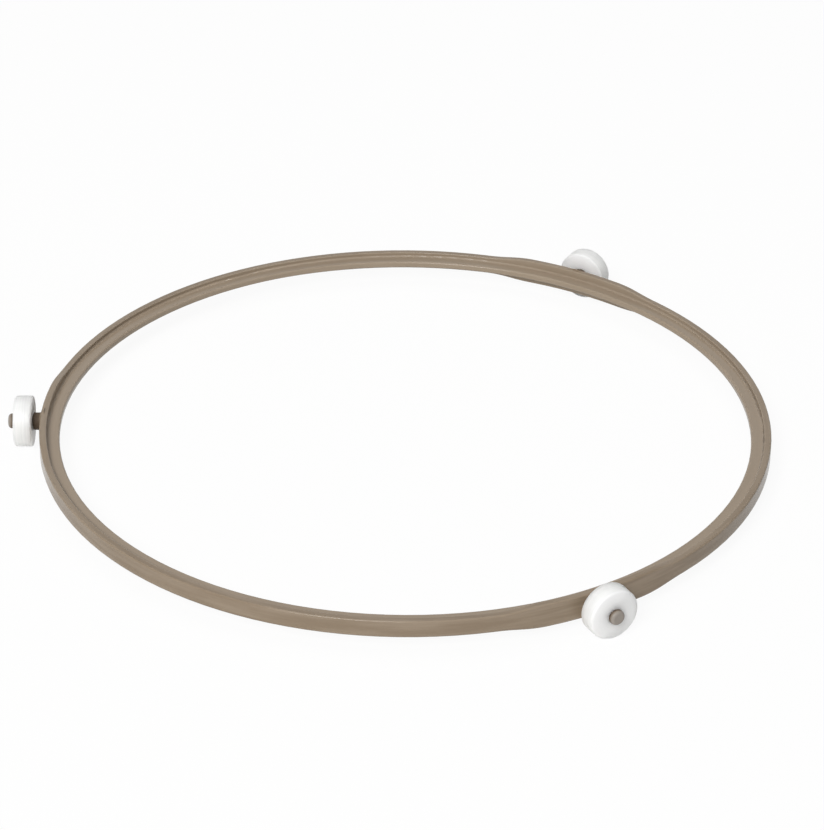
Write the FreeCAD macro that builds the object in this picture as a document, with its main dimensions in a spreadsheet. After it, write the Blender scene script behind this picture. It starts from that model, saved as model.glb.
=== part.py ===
"""Roller ring that carries the glass plate of a microwave oven.

A moulded ring with three stub axles, and a plain wheel snapped over each axle. The wheels roll on the
oven floor and the plate rides on top of them. Millimetres, +Z up, ring axis on Z, axles at Z = 0.
"""
import FreeCAD, Part

import math
import os

import Sketcher

# Driving dimensions in millimetres, the angle in degrees
DRIVING = {
    "ring_diameter": 220.0,
    "rim_top": 2.5,
    "rim_depth": 3.1,
    "rim_wall": 2.1,
    "flange_width": 3.9,
    "flange_thickness": 2.0,
    "flange_edge_rounding": 0.6,
    "flange_root_fillet": 0.5,
    "pad_step": 1.1,
    "pad_flat_length": 37.4,
    "pad_ramp_length": 9.0,
    "ramp_blend": 50.0,
    "top_edge_rounding": 0.5,
    "bottom_edge_rounding": 1.0,
    "inner_edge_rounding": 0.3,
    "wheel_count": 3,
    "first_wheel_angle": 60.0,
    "wheel_diameter": 15.4,
    "wheel_width": 5.6,
    "wheel_bore": 3.6,
    "wheel_crown": 0.2,
    "wheel_outer_rounding": 0.9,
    "wheel_inner_rounding": 0.4,
    "bore_chamfer": 0.25,
    "journal_clearance": 0.05,
    "side_play": 0.2,
    "shoulder_diameter": 5.3,
    "shoulder_length": 2.3,
    "shoulder_flare": 0.4,
    "head_diameter": 4.5,
    "head_length": 1.65,
    "head_rounding": 1.0,
}

# Sizes that follow from the driving ones: reaches are measured from the ring axis, heights up from the
# axles and depths down from them
DERIVED = {
    "rim_radius": "ring_diameter / 2",
    "wall_radius": "rim_radius - rim_wall",
    "flange_radius": "wall_radius - flange_width",
    "flange_top": "flange_thickness / 2",
    "pad_top": "rim_top + pad_step",
    "pad_depth": "rim_depth + pad_step",
    "ramp_start": "pad_flat_length / 2",
    "ramp_foot": "ramp_start + pad_ramp_length",
    "pad_end": "ramp_foot + rim_wall",
    "station_sweep": "360 / wheel_count",
    "pad_sweep": "2 * pad_end / wall_radius * 180 / pi",
    "cut_end": "pad_end + rim_wall",
    "axle_root": "rim_radius - rim_wall / 2",
    "shoulder_reach": "rim_radius + shoulder_length",
    "wheel_inner_reach": "shoulder_reach + side_play",
    "wheel_outer_reach": "wheel_inner_reach + wheel_width",
    "wheel_edge_reach": "wheel_outer_reach - wheel_crown",
    "head_start": "wheel_outer_reach + side_play",
    "head_reach": "head_start + head_length",
    "shoulder_radius": "shoulder_diameter / 2",
    "flare_reach": "rim_radius + shoulder_flare",
    "flare_radius": "shoulder_radius + flare_reach - axle_root",
    "bore_radius": "wheel_bore / 2",
    "journal_radius": "bore_radius - journal_clearance",
    "head_radius": "head_diameter / 2",
    "wheel_radius": "wheel_diameter / 2",
}

WHEEL_NAMES = ("wheel_back_right", "wheel_left", "wheel_front_right")
START, END = 1, 2
SKETCH_ORIGIN = (-1, START)
SKETCH_LEVEL_AXIS = -1
NEAR = 1e-3

doc = FreeCAD.newDocument("microwave_roller_ring")


def make_sheet():
    """Spreadsheet with a name and a value in each row; the value has the name as its alias."""
    sheet = doc.addObject("Spreadsheet::Sheet", "dims")
    cells = {name: str(value) for name, value in DRIVING.items()}
    cells.update({name: f"={formula}" for name, formula in DERIVED.items()})
    for row, (name, content) in enumerate(cells.items(), start=1):
        sheet.set(f"A{row}", name)
        sheet.set(f"B{row}", content)
        sheet.setAlias(f"B{row}", name)
    doc.recompute()
    return sheet


dims = make_sheet()


def size(cell):
    """Present value of one cell of the sheet; a minus sign may stand before its name."""
    return -size(cell[1:]) if cell.startswith("-") else float(getattr(dims, cell))


def origin_feature(body, role):
    """The plane or axis of the body's own origin that has this role."""
    return next(feature for feature in body.Origin.OriginFeatures if feature.Role == role)


def new_sketch(body, name, plane):
    """Empty sketch on a plane of the body."""
    sketch = body.newObject("Sketcher::SketchObject", name)
    sketch.AttachmentSupport = [(origin_feature(body, plane), "")]
    sketch.MapMode = "FlatFace"
    return sketch


def constrain(sketch, *terms):
    """Add one constraint and return its number."""
    return sketch.addConstraint(Sketcher.Constraint(*terms))


def bind_point(sketch, geometry, end, across, up):
    """Hold an end of a line or arc at the distances in two cells, or on the level axis where up is None."""
    for kind, cell in (("DistanceX", across), ("DistanceY", up)):
        if cell is None:
            constrain(sketch, "PointOnObject", geometry, end, SKETCH_LEVEL_AXIS)
            continue
        backwards = cell.startswith("-")
        ends = (geometry, end, *SKETCH_ORIGIN) if backwards else (*SKETCH_ORIGIN, geometry, end)
        number = constrain(sketch, kind, *ends, abs(size(cell)))
        sketch.setExpression(f"Constraints[{number}]", f"dims.{cell.lstrip('-')}")


def corner_point(across, up):
    """Sketch point of a corner that is named by two cells."""
    return FreeCAD.Vector(size(across), 0 if up is None else size(up), 0)


def draw_section(sketch, corners):
    """Closed outline of straight lines through corners named by (across, up) cells."""
    points = [corner_point(*corner) for corner in corners]
    sides = zip(points, points[1:] + points[:1])
    lines = [sketch.addGeometry(Part.LineSegment(start, end)) for start, end in sides]
    for line, following in zip(lines, lines[1:] + lines[:1]):
        constrain(sketch, "Coincident", line, END, following, START)
    for line, corner in zip(lines, corners):
        bind_point(sketch, line, START, *corner)


def revolve(body, name, sketch, axis):
    """Solid made by turning a section a full turn about one of the sketch's own axes."""
    feature = body.newObject("PartDesign::Revolution", name)
    feature.Profile = sketch
    feature.ReferenceAxis = (sketch, [axis])
    feature.Angle = 360
    feature.Refine = True
    return feature


def sweep_about_ring(body, name, sketch, angle):
    """Solid made by turning a section about the ring axis, half the angle to each side of the first wheel."""
    feature = revolve(body, name, sketch, "V_Axis")
    feature.Midplane = True
    feature.setExpression("Angle", angle)


def dress_edges(body, kind, name, wanted, cell):
    """Round or bevel every edge of the body's present solid that passes the test, by the size in a cell."""
    doc.recompute()
    base = body.Tip
    names = [f"Edge{number}" for number, edge in enumerate(base.Shape.Edges, start=1) if wanted(edge)]
    feature = body.newObject(f"PartDesign::{kind}", name)
    feature.Base = (base, names)
    feature.setExpression("Size" if kind == "Chamfer" else "Radius", f"dims.{cell}")


def edge_points(edge):
    """A few points spread along an edge, ends included."""
    return edge.discretize(Number=5)


def reach(point):
    """Distance of a point from the ring axis."""
    return math.hypot(point.x, point.y)


def follows_wall(radius, sides):
    """Test for the edges along a wall of the rim and pads: on top for a side of 1, below for -1."""
    def wanted(edge):
        points = edge_points(edge)
        on_wall = all(abs(reach(point) - radius) < NEAR for point in points)
        beyond = {1: size("rim_top") - NEAR, -1: size("rim_depth") - NEAR}
        return on_wall and any(all(side * point.z > beyond[side] for point in points) for side in sides)

    return wanted


def circles_ring(radius, height):
    """Test for level circles about the ring axis, this far above or below the axles."""
    def wanted(edge):
        return all(
            abs(reach(point) - radius) < NEAR and abs(abs(point.z) - height) < NEAR
            for point in edge_points(edge)
        )

    return wanted


def bends_at_ramp(edge):
    """Test for the straight edges across the wall where a ramp meets the rim or the face of its pad."""
    bends = [
        ("ramp_start", "pad_top"),
        ("ramp_foot", "rim_top"),
        ("ramp_start", "-pad_depth"),
        ("ramp_foot", "-rim_depth"),
    ]
    points = edge_points(edge)
    return any(
        all(abs(abs(point.y) - size(aside)) < NEAR and abs(point.z - size(level)) < NEAR for point in points)
        for aside, level in bends
    )


def circles_axle(radius, *reaches):
    """Test for circles about the first axle, which lies over X, at any of these reaches."""
    def wanted(edge):
        points = edge_points(edge)
        on_radius = all(abs(math.hypot(point.y, point.z) - radius) < NEAR for point in points)
        return on_radius and any(all(abs(point.x - at) < NEAR for point in points) for at in reaches)

    return wanted


def make_ring():
    """One moulding, drawn as the third of the ring about one wheel and repeated about the ring axis.

    The third has a T-shaped rim and flange, a taller pad with ramped ends, and a stub axle.
    """
    body = doc.addObject("PartDesign::Body", "roller_ring")
    tee = new_sketch(body, "TeeSection", "XZ_Plane")
    draw_section(tee, [
        ("rim_radius", "-rim_depth"),
        ("rim_radius", "rim_top"),
        ("wall_radius", "rim_top"),
        ("wall_radius", "flange_top"),
        ("flange_radius", "flange_top"),
        ("flange_radius", "-flange_top"),
        ("wall_radius", "-flange_top"),
        ("wall_radius", "-rim_depth"),
    ])
    sweep_about_ring(body, "RimAndFlange", tee, "dims.station_sweep")
    flange_root = circles_ring(size("wall_radius"), size("flange_top"))
    flange_edge = circles_ring(size("flange_radius"), size("flange_top"))
    dress_edges(body, "Fillet", "FlangeRoot", flange_root, "flange_root_fillet")
    dress_edges(body, "Fillet", "FlangeEdge", flange_edge, "flange_edge_rounding")

    pad_section = new_sketch(body, "PadSection", "XZ_Plane")
    draw_section(pad_section, [
        ("rim_radius", "-pad_depth"),
        ("rim_radius", "pad_top"),
        ("wall_radius", "pad_top"),
        ("wall_radius", "-pad_depth"),
    ])
    sweep_about_ring(body, "Pad", pad_section, "dims.pad_sweep")

    ramp_outlines = new_sketch(body, "RampOutlines", "YZ_Plane")
    for side in ("", "-"):
        for pad_level, rim_level in (("pad_top", "rim_top"), ("-pad_depth", "-rim_depth")):
            draw_section(ramp_outlines, [
                (f"{side}ramp_start", pad_level),
                (f"{side}ramp_foot", rim_level),
                (f"{side}cut_end", rim_level),
                (f"{side}cut_end", pad_level),
            ])
    ramps = body.newObject("PartDesign::Pocket", "Ramps")
    ramps.Profile = ramp_outlines
    ramps.Reversed = True
    ramps.Refine = True
    ramps.setExpression("Length", "dims.ring_diameter")

    dress_edges(body, "Fillet", "RampBlends", bends_at_ramp, "ramp_blend")
    outer_wall, inner_wall = size("rim_radius"), size("wall_radius")
    dress_edges(body, "Fillet", "TopEdge", follows_wall(outer_wall, [1]), "top_edge_rounding")
    dress_edges(body, "Fillet", "BottomEdge", follows_wall(outer_wall, [-1]), "bottom_edge_rounding")
    dress_edges(body, "Fillet", "InnerEdges", follows_wall(inner_wall, [1, -1]), "inner_edge_rounding")

    axle_section = new_sketch(body, "AxleSection", "XZ_Plane")
    draw_section(axle_section, [
        ("axle_root", None),
        ("axle_root", "flare_radius"),
        ("flare_reach", "shoulder_radius"),
        ("shoulder_reach", "shoulder_radius"),
        ("shoulder_reach", "journal_radius"),
        ("head_start", "journal_radius"),
        ("head_start", "head_radius"),
        ("head_reach", "head_radius"),
        ("head_reach", None),
    ])
    revolve(body, "StubAxle", axle_section, "H_Axis")
    head_end = circles_axle(size("head_radius"), size("head_reach"))
    dress_edges(body, "Fillet", "HeadRounding", head_end, "head_rounding")

    thirds = body.newObject("PartDesign::PolarPattern", "WheelStations")
    thirds.TransformMode = "Whole shape"
    thirds.Axis = (origin_feature(body, "Z_Axis"), [""])
    thirds.Angle = 360
    thirds.Refine = True
    thirds.setExpression("Occurrences", "dims.wheel_count")
    body.Tip = thirds
    return body


def make_wheel(name):
    """Plain wheel with a slightly crowned outer face, a well rounded outer edge and a bevelled bore."""
    body = doc.addObject("PartDesign::Body", name)
    section = new_sketch(body, f"{name}_section", "XZ_Plane")
    draw_section(section, [
        ("wheel_inner_reach", "bore_radius"),
        ("wheel_inner_reach", "wheel_radius"),
        ("wheel_edge_reach", "wheel_radius"),
        ("wheel_outer_reach", "bore_radius"),
    ])
    revolve(body, f"{name}_turned", section, "H_Axis")
    tread, bore = size("wheel_radius"), size("bore_radius")
    outer_edge = circles_axle(tread, size("wheel_edge_reach"))
    inner_edge = circles_axle(tread, size("wheel_inner_reach"))
    bore_mouths = circles_axle(bore, size("wheel_inner_reach"), size("wheel_outer_reach"))
    dress_edges(body, "Fillet", f"{name}_outer_edge", outer_edge, "wheel_outer_rounding")
    dress_edges(body, "Fillet", f"{name}_inner_edge", inner_edge, "wheel_inner_rounding")
    dress_edges(body, "Chamfer", f"{name}_bore_mouths", bore_mouths, "bore_chamfer")
    return body


def turn_to_station(body, station):
    """Turn a piece that was drawn on X about the ring axis, to the wheel station with this number."""
    body.Placement = FreeCAD.Placement(FreeCAD.Vector(), FreeCAD.Rotation(FreeCAD.Vector(0, 0, 1), 1))
    angle = f"dims.first_wheel_angle + {station} * dims.station_sweep"
    body.setExpression("Placement.Rotation.Angle", angle)


def check_document(bodies):
    """Stop if any object failed to build or any piece isn't one valid solid."""
    failed = [item.Name for item in doc.Objects if {"Invalid", "Error"} & set(item.State)]
    if failed:
        raise RuntimeError(f"objects that failed: {failed}")
    for body in bodies:
        if body.Shape.isNull() or not body.Shape.isValid() or len(body.Shape.Solids) != 1:
            raise RuntimeError(f"{body.Label} isn't one valid solid")


ring = make_ring()
turn_to_station(ring, 0)
pieces = [ring]
for station, wheel_name in enumerate(WHEEL_NAMES):
    wheel = make_wheel(wheel_name)
    turn_to_station(wheel, station)
    pieces.append(wheel)
doc.recompute()
check_document(pieces)

os.makedirs("parts", exist_ok=True)
for piece in pieces:
    piece.Shape.exportStep(f"parts/{piece.Label}.step")
    print(f"{piece.Label}: {piece.Shape.Volume:.1f} mm3")
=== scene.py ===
"""Studio picture of a microwave roller ring: moulded taupe ring, three white wheels, white table.

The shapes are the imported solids. This script gives them their plastics, and adds table, lamps and camera.
"""
import math

import bpy
from mathutils import Matrix, Vector


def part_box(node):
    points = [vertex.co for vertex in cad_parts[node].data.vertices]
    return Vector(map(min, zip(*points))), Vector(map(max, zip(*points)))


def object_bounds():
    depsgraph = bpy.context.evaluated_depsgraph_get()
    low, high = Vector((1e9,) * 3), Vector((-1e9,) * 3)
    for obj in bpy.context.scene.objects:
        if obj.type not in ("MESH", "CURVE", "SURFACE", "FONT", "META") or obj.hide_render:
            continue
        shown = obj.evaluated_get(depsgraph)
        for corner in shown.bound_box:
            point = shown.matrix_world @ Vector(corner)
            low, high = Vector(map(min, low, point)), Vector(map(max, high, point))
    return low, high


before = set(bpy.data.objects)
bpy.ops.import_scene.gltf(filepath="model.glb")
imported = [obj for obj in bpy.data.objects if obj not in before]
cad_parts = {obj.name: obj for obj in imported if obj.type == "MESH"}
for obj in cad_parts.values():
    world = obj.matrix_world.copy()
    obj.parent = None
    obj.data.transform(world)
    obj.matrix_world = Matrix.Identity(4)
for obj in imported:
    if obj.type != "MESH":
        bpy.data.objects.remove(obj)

cad_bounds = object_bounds()

MM = 0.001
RING = "roller_ring"
WHEELS = ("wheel_left", "wheel_front_right", "wheel_back_right")

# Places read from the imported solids, in metres from the ring's axis or from the plane of the axles
FLOOR_LEVEL = cad_bounds[0].z
WHEEL_RADIUS = -FLOOR_LEVEL
AXLE_END = -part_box(RING)[0].x
RIM_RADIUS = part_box(RING)[1].y
WHEEL_INNER_FACE = -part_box("wheel_left")[1].x
WHEEL_OUTER_FACE = -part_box("wheel_left")[0].x

# What the boxes don't tell: the thickness of the rim's wall, and where the wheel stations stand around it
RIM_WALL = 2.1 * MM
RIM_INSIDE = RIM_RADIUS - RIM_WALL
STATION_STEP = math.tau / len(WHEELS)
FIRST_STATION = STATION_STEP / 2

# Colours as they look in the photograph, before they are turned to linear light
TAUPE = (142, 126, 107)
TAUPE_PALE = (158, 143, 125)
TAUPE_DEEP = (124, 107, 87)
# Brown of the painted shade in the corners, on the axle necks and at the heads' roots, with some dust in
# the corners
SHADE_AND_DUST_BROWN = (74, 60, 48)
CUT_END_GREY = (146, 138, 130)
WHEEL_WHITE = (250, 250, 248)
WHEEL_SHADE = (244, 245, 243)
TREAD_GREY = (222, 223, 221)
TABLE_WHITE = (250, 250, 249)
PURE_WHITE = (1.0, 1.0, 1.0, 1.0)

# Shares of the taupe's effects, from 0 to 1
PLAIN_OVER_STREAKS = 0.62
# Paler flange and inner wall: painted light
PALE_INSIDE = 0.6
PALE_EDGES = 0.6
# Brown in the ring's corners is painted shade with some dust
BROWN_CORNERS = 0.3
# Brown on the axle necks and at the heads' roots is painted shade
BROWN_NECK = 0.9
BROWN_HEAD_ROOT = 0.85

# Roughness of the taupe, and what each effect adds to it or takes away
TAUPE_ROUGHNESS = 0.19
TAUPE_PATCHES_ADD = 0.08
CUT_END_ADDS = 0.15
# Roughness added where the axle necks and heads' roots are painted in shade
AXLE_SHADE_ADDS = 0.5
RUBBING_TAKES = 0.05
TAUPE_SPECULAR = 0.25

# Shares of the wheels' effects, from 0 to 1
SHADE_STREAKS = 0.5
TREAD_LEAST = 0.3
TREAD_STREAKS = 0.3
WHITE_EDGES = 0.2
# Grey in the wheels' corners and beside the axle is painted shade with some dust
GREY_CORNERS = 0.4

# Roughness of the wheels, and the depth to which light goes into their plastic
WHEEL_ROUGHNESS = 0.34
WHEEL_PATCHES_ADD = 0.10
SCUFFS_ADD = 0.15
LIGHT_DEPTH = 6.0 * MM

# Table and surroundings: width, share of pure white in what is seen, and level of the even light
TABLE_WIDTH = 8.0
TABLE_GLOW = 0.93
EVEN_LIGHT = 0.07

# Camera that took the photograph, found from the ring's ellipse and the three wheels
CAMERA_ELEVATION = 30.31
CAMERA_AZIMUTH = 0.41
CAMERA_ROLL = 0.41
CAMERA_DISTANCE = 0.996
CAMERA_AIM = Vector((1.93, 1.68, 2.58)) * MM
CAMERA_LENS = 143.0
CAMERA_SENSOR = 36.0


def linear(colour):
    """Linear light with full opacity for a colour given as it looks on screen, 0 to 255."""
    shares = [channel / 255 for channel in colour]
    return [s / 12.92 if s <= 0.04045 else ((s + 0.055) / 1.055) ** 2.4 for s in shares] + [1.0]


def toward(azimuth, elevation):
    """Unit vector at this angle about +Z from +X, and this angle above the table, in degrees."""
    turn, rise = math.radians(azimuth), math.radians(elevation)
    return Vector((math.cos(turn) * math.cos(rise), math.sin(turn) * math.cos(rise), math.sin(rise)))


class Tree:
    """Short way to add and link nodes in one material or group."""

    def __init__(self, tree):
        self.tree = tree

    def add(self, kind, settings=None, **inputs):
        """New node; settings are its own fields, inputs are values or outputs for its sockets by name."""
        node = self.tree.nodes.new(f"ShaderNode{kind}")
        for field, value in (settings or {}).items():
            setattr(node, field, value)
        for socket, value in inputs.items():
            self.feed(node.inputs[socket.replace("_", " ")], value)
        return node

    def feed(self, socket, value):
        """Put a plain value on a socket, or link another node's output to it."""
        if isinstance(value, bpy.types.NodeSocket):
            self.tree.links.new(value, socket)
        else:
            socket.default_value = value

    def math(self, operation, *values):
        """Output of a math node."""
        node = self.add("Math", {"operation": operation})
        for socket, value in zip(node.inputs, values):
            self.feed(socket, value)
        return node.outputs[0]

    def length(self, across, up):
        """Distance from zero of a point with these two coordinates."""
        squares = self.math("ADD", self.math("POWER", across, 2.0), self.math("POWER", up, 2.0))
        return self.math("SQRT", squares)

    def ramp(self, value, start, end, low=0.0, high=1.0):
        """Value eased from low to high while the input goes from start to end."""
        node = self.add("MapRange", {"interpolation_type": "SMOOTHSTEP"}, Value=value)
        node.inputs["From Min"].default_value = start
        node.inputs["From Max"].default_value = end
        node.inputs["To Min"].default_value = low
        node.inputs["To Max"].default_value = high
        return node.outputs["Result"]

    def mix(self, share, under, over):
        """Colour that goes from under to over as share goes from 0 to 1."""
        node = self.add("Mix", {"data_type": "RGBA"})
        self.feed(node.inputs["Factor"], share)
        self.feed(node.inputs["A"], under)
        self.feed(node.inputs["B"], over)
        return node.outputs["Result"]

    def noise(self, vector, scale, detail=2.0, roughness=0.5):
        """Grey value of a noise texture."""
        node = self.add("TexNoise", Vector=vector, Scale=scale, Detail=detail, Roughness=roughness)
        return node.outputs["Fac"]

    def group(self, group, **inputs):
        """Instance of a shared node group with its own values."""
        node = self.add("Group", {"node_tree": group})
        for socket, value in inputs.items():
            self.feed(node.inputs[socket.replace("_", " ")], value)
        return node

    def point(self):
        """Place of the shaded point, from the ring's centre."""
        return self.add("TexCoord").outputs["Object"]

    def ring_place(self):
        """Turn of the shaded point about the ring's axis, its distance from the axis, and its height."""
        place = self.add("SeparateXYZ", Vector=self.point()).outputs
        return self.math("ARCTAN2", place["Y"], place["X"]), self.length(place["X"], place["Y"]), place["Z"]


def new_group(name, inputs, outputs):
    """Empty shader group with named float or vector sockets; returns it with its tree, entry and exit."""
    group = bpy.data.node_groups.new(name, "ShaderNodeTree")
    for socket_name, start in inputs.items():
        kind = "NodeSocketVector" if start is None else "NodeSocketFloat"
        socket = group.interface.new_socket(socket_name, in_out="INPUT", socket_type=kind)
        if start is not None:
            socket.default_value = start
    for socket_name in outputs:
        group.interface.new_socket(socket_name, in_out="OUTPUT", socket_type="NodeSocketFloat")
    entry = group.nodes.new("NodeGroupInput")
    leave = group.nodes.new("NodeGroupOutput")
    return group, Tree(group), entry.outputs, leave.inputs


def make_moulded_grain():
    """Spark-eroded mould skin: a fine pebbled height, and slow patches where the skin is shinier."""
    pebble_share, fine_share = 0.7, 0.5
    fine_to_pebble, patch_to_pebble = 2.3, 0.02
    group, tree, given, result = new_group("moulded_grain", {"Grain Size": 0.3 * MM}, ("Height", "Patches"))
    place = tree.point()
    scale = tree.math("DIVIDE", 1.0, given["Grain Size"])
    cells = tree.add("TexVoronoi", {"feature": "SMOOTH_F1"}, Vector=place, Scale=scale)
    fine = tree.noise(place, tree.math("MULTIPLY", scale, fine_to_pebble), detail=3.0)
    pebbles = tree.math("MULTIPLY", cells.outputs["Distance"], pebble_share)
    tree.feed(result["Height"], tree.math("MULTIPLY_ADD", fine, fine_share, pebbles))
    slow = tree.noise(place, tree.math("MULTIPLY", scale, patch_to_pebble), detail=4.0, roughness=0.6)
    tree.feed(result["Patches"], tree.ramp(slow, start=0.3, end=0.7))
    return group


def make_melt_flow():
    """Faint streaks that the melt left along the way it ran: the first axis of Run is along the flow."""
    group, tree, given, result = new_group(
        "melt_flow", {"Run": None, "Streak Width": 1.0 * MM, "Stretch": 12.0}, ("Tone",)
    )
    across = tree.math("DIVIDE", 1.0, given["Streak Width"])
    along = tree.math("DIVIDE", across, given["Stretch"])
    scales = tree.add("CombineXYZ", X=along, Y=across, Z=across)
    run = tree.add("VectorMath", {"operation": "MULTIPLY"})
    tree.feed(run.inputs[0], given["Run"])
    tree.feed(run.inputs[1], scales.outputs["Vector"])
    streaks = tree.noise(run.outputs["Vector"], 1.0, detail=3.0, roughness=0.55)
    tree.feed(result["Tone"], tree.ramp(streaks, start=0.3, end=0.7))
    return group


def make_rubbed_edges():
    """Mask of the outer edges, where handling has rubbed the skin, broken up into patches."""
    group, tree, given, result = new_group(
        "rubbed_edges", {"Width": 0.3 * MM, "Breakup": 2.0 * MM}, ("Edge",)
    )
    bevel = tree.add("Bevel", {"samples": 6}, Radius=given["Width"])
    skin = tree.add("NewGeometry")
    facing = tree.add("VectorMath", {"operation": "DOT_PRODUCT"})
    tree.feed(facing.inputs[0], bevel.outputs["Normal"])
    tree.feed(facing.inputs[1], skin.outputs["Normal"])
    bend = tree.ramp(tree.math("SUBTRACT", 1.0, facing.outputs["Value"]), start=0.01, end=0.16)
    patches = tree.noise(tree.point(), tree.math("DIVIDE", 1.0, given["Breakup"]), detail=3.0)
    tree.feed(result["Edge"], tree.math("MULTIPLY", bend, tree.ramp(patches, start=0.25, end=0.7)))
    return group


def make_corner_dust_and_shade():
    """Mask of the inner corners, from ambient occlusion, for painted shade there with some dust, heavier in
    some patches than in others.
    """
    reach_to_patch = 0.3
    group, tree, given, result = new_group("corner_dust_and_shade", {"Reach": 1.5 * MM}, ("Corner",))
    shelter = tree.add("AmbientOcclusion", {"samples": 8, "only_local": True}, Distance=given["Reach"])
    closed = tree.ramp(shelter.outputs["AO"], start=0.65, end=0.25)
    patches = tree.noise(tree.point(), tree.math("DIVIDE", reach_to_patch, given["Reach"]))
    heavy = tree.ramp(patches, start=0.2, end=0.8, low=0.55)
    tree.feed(result["Corner"], tree.math("MULTIPLY", closed, heavy))
    return group


def make_axle_place():
    """Place of a point on its nearest axle: how far out, how far off its middle, and at what turn."""
    group, tree, _, result = new_group("axle_place", {}, ("Out", "Off Middle", "Turn"))
    heading, reach, height = tree.ring_place()
    past_first = tree.math("SUBTRACT", heading, FIRST_STATION)
    steps = tree.math("ROUND", tree.math("DIVIDE", past_first, STATION_STEP))
    station = tree.math("MULTIPLY_ADD", steps, STATION_STEP, FIRST_STATION)
    aside = tree.math("SUBTRACT", heading, station)
    across = tree.math("MULTIPLY", reach, tree.math("SINE", aside))
    tree.feed(result["Out"], tree.math("MULTIPLY", reach, tree.math("COSINE", aside)))
    tree.feed(result["Off Middle"], tree.length(across, height))
    tree.feed(result["Turn"], tree.math("ARCTAN2", height, across))
    return group


GRAIN = make_moulded_grain()
FLOW = make_melt_flow()
EDGES = make_rubbed_edges()
CORNER_DUST_AND_SHADE = make_corner_dust_and_shade()
AXLE = make_axle_place()


def new_material(name):
    """Material with an empty tree; returns it with the tree and its output node."""
    material = bpy.data.materials.new(name)
    material.use_nodes = True
    material.node_tree.nodes.clear()
    tree = Tree(material.node_tree)
    return material, tree, tree.add("OutputMaterial")


def bump_normal(tree, height, depth):
    """Normal bent by a height; depth is the height's full range in metres."""
    return tree.add("Bump", Height=height, Strength=1.0, Distance=depth).outputs["Normal"]


def make_taupe_moulding():
    """Low-sheen taupe: streaks along the ring, pale rubbed edges, grey axle ends, painted light on the
    flange and inner wall, and painted shade in brown at the corners (with some dust), the axle necks and
    the heads' roots.
    """
    material, tree, output = new_material("taupe_moulding")
    heading, reach, height = tree.ring_place()
    # The streaks run both ways round from +X, so they meet at -X without a step
    arc = tree.math("MULTIPLY", tree.math("ABSOLUTE", heading), reach)
    run = tree.add("CombineXYZ", X=arc, Y=reach, Z=height).outputs["Vector"]

    flow = tree.group(FLOW, Run=run, Streak_Width=1.6 * MM, Stretch=14.0).outputs["Tone"]
    grain = tree.group(GRAIN, Grain_Size=0.35 * MM).outputs
    edge = tree.group(EDGES, Width=0.45 * MM, Breakup=3.0 * MM).outputs["Edge"]
    corner = tree.group(CORNER_DUST_AND_SHADE, Reach=1.2 * MM).outputs["Corner"]
    out = tree.group(AXLE).outputs["Out"]

    # Flange and inner wall made paler: painted light
    inside = tree.ramp(reach, start=RIM_INSIDE + 0.5 * MM, end=RIM_INSIDE)
    cut_end = tree.ramp(out, start=AXLE_END - 1.7 * MM, end=AXLE_END - 0.3 * MM)
    # Painted shade in brown on the axle necks, between rim and wheel, and at the heads' roots beside the
    # wheels
    past_rim = tree.ramp(out, start=RIM_RADIUS + 0.1 * MM, end=RIM_RADIUS + 0.6 * MM)
    past_neck = tree.ramp(out, start=WHEEL_INNER_FACE, end=WHEEL_INNER_FACE + 1.0 * MM)
    head_root = tree.ramp(out, start=WHEEL_OUTER_FACE + 1.5 * MM, end=WHEEL_OUTER_FACE + 0.4 * MM,
                          high=BROWN_HEAD_ROOT)
    neck_shade = tree.math("MULTIPLY", tree.math("SUBTRACT", past_rim, past_neck), BROWN_NECK)
    axle_shade = tree.math("MAXIMUM", neck_shade, tree.math("MULTIPLY", head_root, past_neck))
    # Painted shade with some dust in the corners, and painted shade at the axles
    shade_and_dust = tree.math("MAXIMUM", tree.math("MULTIPLY", corner, BROWN_CORNERS), axle_shade)

    streaked = tree.mix(flow, linear(TAUPE_DEEP), linear(TAUPE_PALE))
    plain = tree.mix(PLAIN_OVER_STREAKS, streaked, linear(TAUPE))
    body = tree.mix(tree.math("MULTIPLY", inside, PALE_INSIDE), plain, linear(TAUPE_PALE))
    ended = tree.mix(cut_end, body, linear(CUT_END_GREY))
    rubbed = tree.mix(tree.math("MULTIPLY", edge, PALE_EDGES), ended, linear(TAUPE_PALE))
    # Brown painted shade over the taupe, with some dust in the corners
    colour = tree.mix(shade_and_dust, rubbed, linear(SHADE_AND_DUST_BROWN))

    patchy = tree.math("MULTIPLY_ADD", grain["Patches"], TAUPE_PATCHES_ADD, TAUPE_ROUGHNESS)
    matt_end = tree.math("MULTIPLY_ADD", cut_end, CUT_END_ADDS, patchy)
    # Rougher where the axles are painted in shade
    matt_axle = tree.math("MULTIPLY_ADD", axle_shade, AXLE_SHADE_ADDS, matt_end)
    rough = tree.math("MULTIPLY_ADD", edge, -RUBBING_TAKES, matt_axle)
    shader = tree.add("BsdfPrincipled", Base_Color=colour, Roughness=rough,
                      Specular_IOR_Level=TAUPE_SPECULAR,
                      Normal=bump_normal(tree, grain["Height"], depth=0.006 * MM))
    tree.feed(output.inputs["Surface"], shader.outputs["BSDF"])
    return material


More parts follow.
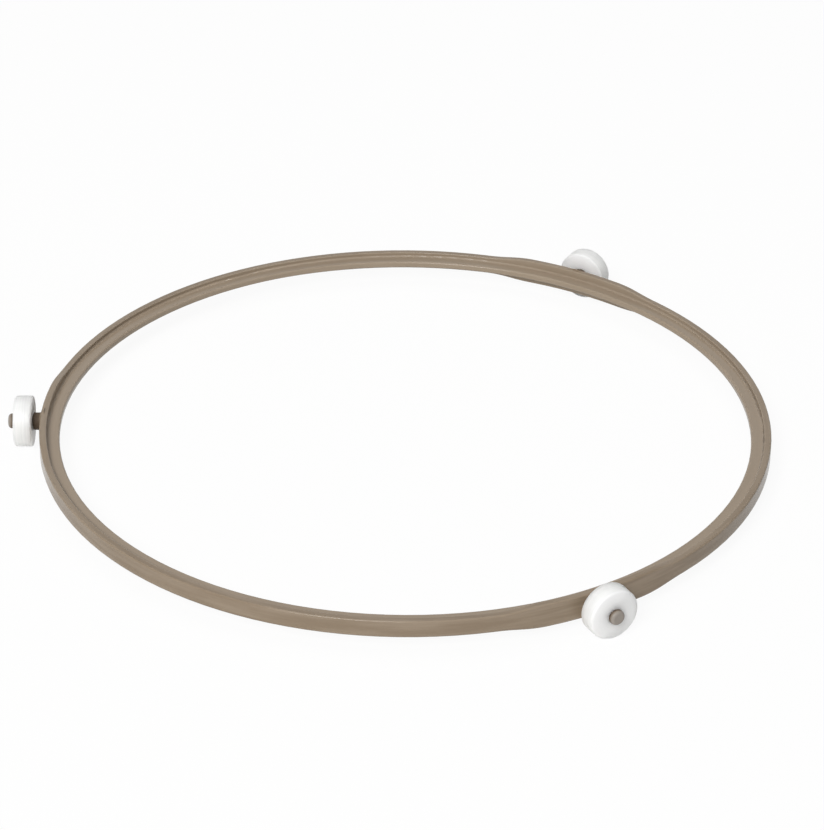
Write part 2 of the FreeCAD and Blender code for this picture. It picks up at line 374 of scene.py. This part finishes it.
def make_satin_white():
    """Satin white wheel: faint turned rings on the faces, a greyer tread, and grey painted shade with some
    dust beside the axle.
    """
    material, tree, output = new_material("satin_white")
    axle = tree.group(AXLE).outputs
    around = tree.math("MULTIPLY", tree.math("ABSOLUTE", axle["Turn"]), WHEEL_RADIUS)
    run = tree.add("CombineXYZ", X=around, Y=axle["Off Middle"], Z=axle["Out"]).outputs["Vector"]

    flow = tree.group(FLOW, Run=run, Streak_Width=0.6 * MM, Stretch=16.0).outputs["Tone"]
    grain = tree.group(GRAIN, Grain_Size=0.25 * MM).outputs
    edge = tree.group(EDGES, Width=0.4 * MM, Breakup=2.0 * MM).outputs["Edge"]
    corner = tree.group(CORNER_DUST_AND_SHADE, Reach=1.0 * MM).outputs["Corner"]

    tread = tree.ramp(axle["Off Middle"], start=WHEEL_RADIUS - 0.35 * MM, end=WHEEL_RADIUS - 0.05 * MM)
    scuffed = tree.math("MULTIPLY", tread, tree.math("MULTIPLY_ADD", flow, TREAD_STREAKS, TREAD_LEAST))

    body = tree.mix(tree.math("MULTIPLY", flow, SHADE_STREAKS), linear(WHEEL_WHITE), linear(WHEEL_SHADE))
    rolled = tree.mix(scuffed, body, linear(TREAD_GREY))
    rubbed = tree.mix(tree.math("MULTIPLY", edge, WHITE_EDGES), rolled, linear(WHEEL_WHITE))
    # Grey painted shade, with some dust, in the wheels' corners and beside the axle
    colour = tree.mix(tree.math("MULTIPLY", corner, GREY_CORNERS), rubbed, linear(TREAD_GREY))

    worn = tree.math("MULTIPLY_ADD", scuffed, SCUFFS_ADD, WHEEL_ROUGHNESS)
    rough = tree.math("MULTIPLY_ADD", grain["Patches"], WHEEL_PATCHES_ADD, worn)
    shader = tree.add("BsdfPrincipled", Base_Color=colour, Roughness=rough,
                      Subsurface_Weight=1.0, Subsurface_Scale=LIGHT_DEPTH,
                      Subsurface_Radius=(1.0, 1.0, 1.0),
                      Normal=bump_normal(tree, grain["Height"], depth=0.004 * MM))
    tree.feed(output.inputs["Surface"], shader.outputs["BSDF"])
    return material


def seen_directly(tree):
    """1 where the camera sees the surface itself or in a reflection, 0 where it only lights the object."""
    path = tree.add("LightPath").outputs
    glossy = tree.math("MAXIMUM", path["Is Camera Ray"], path["Is Glossy Ray"])
    return tree.math("MAXIMUM", glossy, path["Is Transmission Ray"])


def make_table():
    """Wide white table under the wheels; it shows white and keeps a soft shadow of the ring."""
    bpy.ops.mesh.primitive_plane_add(size=TABLE_WIDTH, location=(0, 0, FLOOR_LEVEL))
    table = bpy.context.object
    table.name = "table"
    material, tree, output = new_material("table_white")
    cloth = tree.add("BsdfDiffuse", Color=linear(TABLE_WHITE))
    glow = tree.add("Emission", Color=PURE_WHITE, Strength=1.0)
    blend = tree.add("MixShader", Fac=tree.math("MULTIPLY", seen_directly(tree), TABLE_GLOW))
    tree.feed(blend.inputs[1], cloth.outputs["BSDF"])
    tree.feed(blend.inputs[2], glow.outputs["Emission"])
    tree.feed(output.inputs["Surface"], blend.outputs["Shader"])
    table.data.materials.append(material)


def make_world():
    """White surroundings to look at, and weak even light on the object."""
    world = bpy.data.worlds.new("studio")
    world.use_nodes = True
    world.node_tree.nodes.clear()
    tree = Tree(world.node_tree)
    output = tree.add("OutputWorld")
    strength = tree.ramp(seen_directly(tree), start=0.0, end=1.0, low=EVEN_LIGHT)
    sky = tree.add("Background", Color=PURE_WHITE, Strength=strength)
    tree.feed(output.inputs["Surface"], sky.outputs["Background"])
    bpy.context.scene.world = world


def make_lamp(name, azimuth, elevation, distance, width, watts):
    """Square soft lamp that points at the ring; angles in degrees, lengths in metres."""
    lamp = bpy.data.lights.new(name, "AREA")
    lamp.shape = "SQUARE"
    lamp.size = width
    lamp.energy = watts
    stand = bpy.data.objects.new(name, lamp)
    direction = toward(azimuth, elevation)
    stand.location = direction * distance
    stand.rotation_mode = "QUATERNION"
    stand.rotation_quaternion = direction.to_track_quat("Z", "Y")
    bpy.context.scene.collection.objects.link(stand)


def make_camera():
    """Camera at the photograph's place, with its small turn and roll."""
    data = bpy.data.cameras.new("camera")
    data.lens = CAMERA_LENS
    data.sensor_width = CAMERA_SENSOR
    camera = bpy.data.objects.new("camera", data)
    back = toward(CAMERA_AZIMUTH - 90, CAMERA_ELEVATION)
    facing = back.to_track_quat("Z", "Y").to_matrix().to_4x4()
    roll = Matrix.Rotation(math.radians(CAMERA_ROLL), 4, "Z")
    place = Matrix.Translation(CAMERA_AIM + back * CAMERA_DISTANCE)
    camera.matrix_world = place @ facing @ roll
    bpy.context.scene.collection.objects.link(camera)
    bpy.context.scene.camera = camera


def dress(node, material):
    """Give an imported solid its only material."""
    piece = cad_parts[node]
    piece.data.materials.clear()
    piece.data.materials.append(material)


dress(RING, make_taupe_moulding())
satin_white = make_satin_white()
for wheel in WHEELS:
    dress(wheel, satin_white)

make_table()
make_world()
make_lamp("key_front_left", azimuth=250, elevation=42, distance=3.0, width=1.3, watts=80)
make_lamp("overhead", azimuth=90, elevation=80, distance=1.2, width=1.2, watts=4.8)
make_camera()
bpy.context.scene.view_settings.view_transform = "Standard"

bpy.context.view_layer.update()
